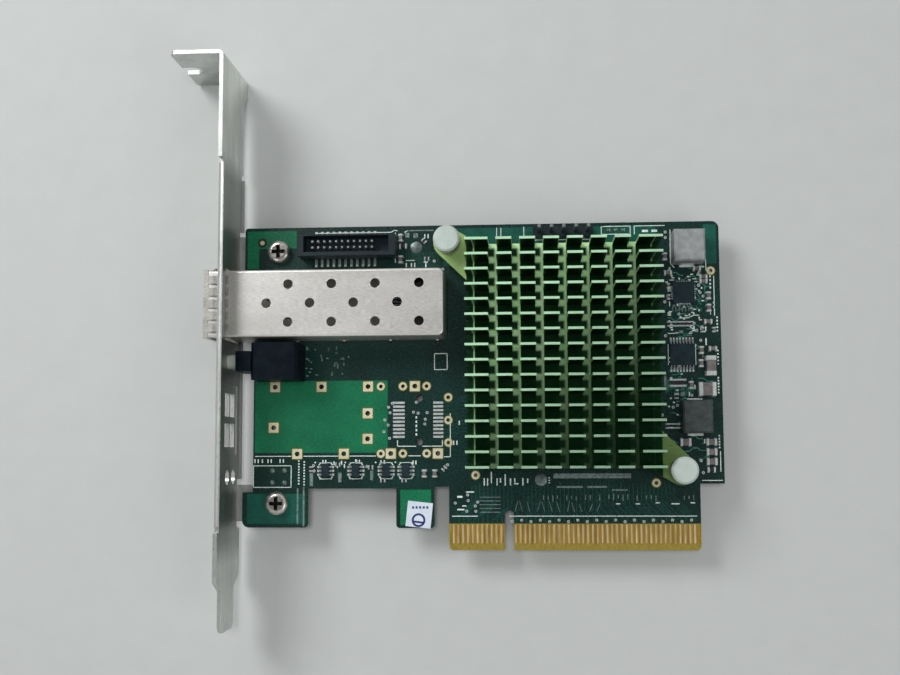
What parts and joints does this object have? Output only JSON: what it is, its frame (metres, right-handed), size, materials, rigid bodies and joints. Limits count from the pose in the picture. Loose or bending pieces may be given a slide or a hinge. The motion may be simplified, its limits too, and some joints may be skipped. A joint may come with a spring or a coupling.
{
  "type": "network interface card",
  "caption": "Short full-height network card with a pluggable-module port, a cross-cut pin-fin heat sink and a folded slot bracket.",
  "frame": {"origin": "middle of the key notch on the lower edge of the contact tab, in the middle of the board's thickness", "axes": "+X along the card away from the bracket, +Y away from the edge contacts, +Z out of the component side"},
  "size_m": [0.1142, 0.12, 0.0216],
  "materials": {
    "board_laminate": "semi-gloss green solder mask over glass fibre",
    "contact_gold": "bright plated gold",
    "pad_gold": "pale immersion gold",
    "solder_tin": "bright tinned solder",
    "bracket_steel": "satin plated sheet steel",
    "screw_steel": "bright plated screw",
    "cage_steel": "satin plated sheet",
    "collar_steel": "bright spring sheet",
    "spring_steel": "drawn spring wire",
    "sink_aluminium": "satin yellow-green chromated aluminium",
    "pin_plastic": "matt off-white moulding",
    "chip_plastic": "matt dark moulding",
    "header_plastic": "satin black moulding",
    "host_plastic": "satin black moulding",
    "lamp_housing": "matt black moulding",
    "lamp_plastic": "clear tinted lens",
    "soft_pad": "soft grey compound",
    "ferrite_pale": "matt pale grey moulding",
    "ferrite_dark": "matt dark grey moulding",
    "capacitor_ceramic": "matt brown-grey ceramic",
    "resistor_ceramic": "glazed black film on ceramic",
    "pin_tin": "bright tinned pin",
    "sticker_paper": "matt coated paper"
  },
  "bodies": {
    "root": {"circuit_board": "board_laminate", "edge_contacts": "contact_gold", "plated_pads": "pad_gold", "tinned_lands": "solder_tin", "solder_beads": "solder_tin", "io_bracket": "bracket_steel", "bracket_screws": "screw_steel", "cage_shell": "cage_steel", "cage_floor": "cage_steel", "cage_spring_collar": "collar_steel", "host_connector": "host_plastic", "host_connector_contacts": "pin_tin", "heat_sink": "sink_aluminium", "push_pins": "pin_plastic", "push_pin_springs": "spring_steel", "controller_chip": "chip_plastic", "thermal_pad": "soft_pad", "header_shroud": "header_plastic", "header_pins": "pin_tin", "strip_header_base": "header_plastic", "strip_header_pins": "pin_tin", "led_housing": "lamp_housing", "led_lenses": "lamp_plastic", "led_leads": "pin_tin", "pale_inductor": "ferrite_pale", "dark_inductor": "ferrite_dark", "inductor_terminals": "solder_tin", "regulator_chip": "chip_plastic", "regulator_chip_pads": "solder_tin", "buffer_chip": "chip_plastic", "buffer_chip_leads": "pin_tin", "small_chips": "chip_plastic", "small_chip_leads": "pin_tin", "capacitor_bodies": "capacitor_ceramic", "capacitor_ends": "solder_tin", "resistor_bodies": "resistor_ceramic", "resistor_ends": "solder_tin", "inspection_sticker": "sticker_paper"}
  },
  "joints": []
}
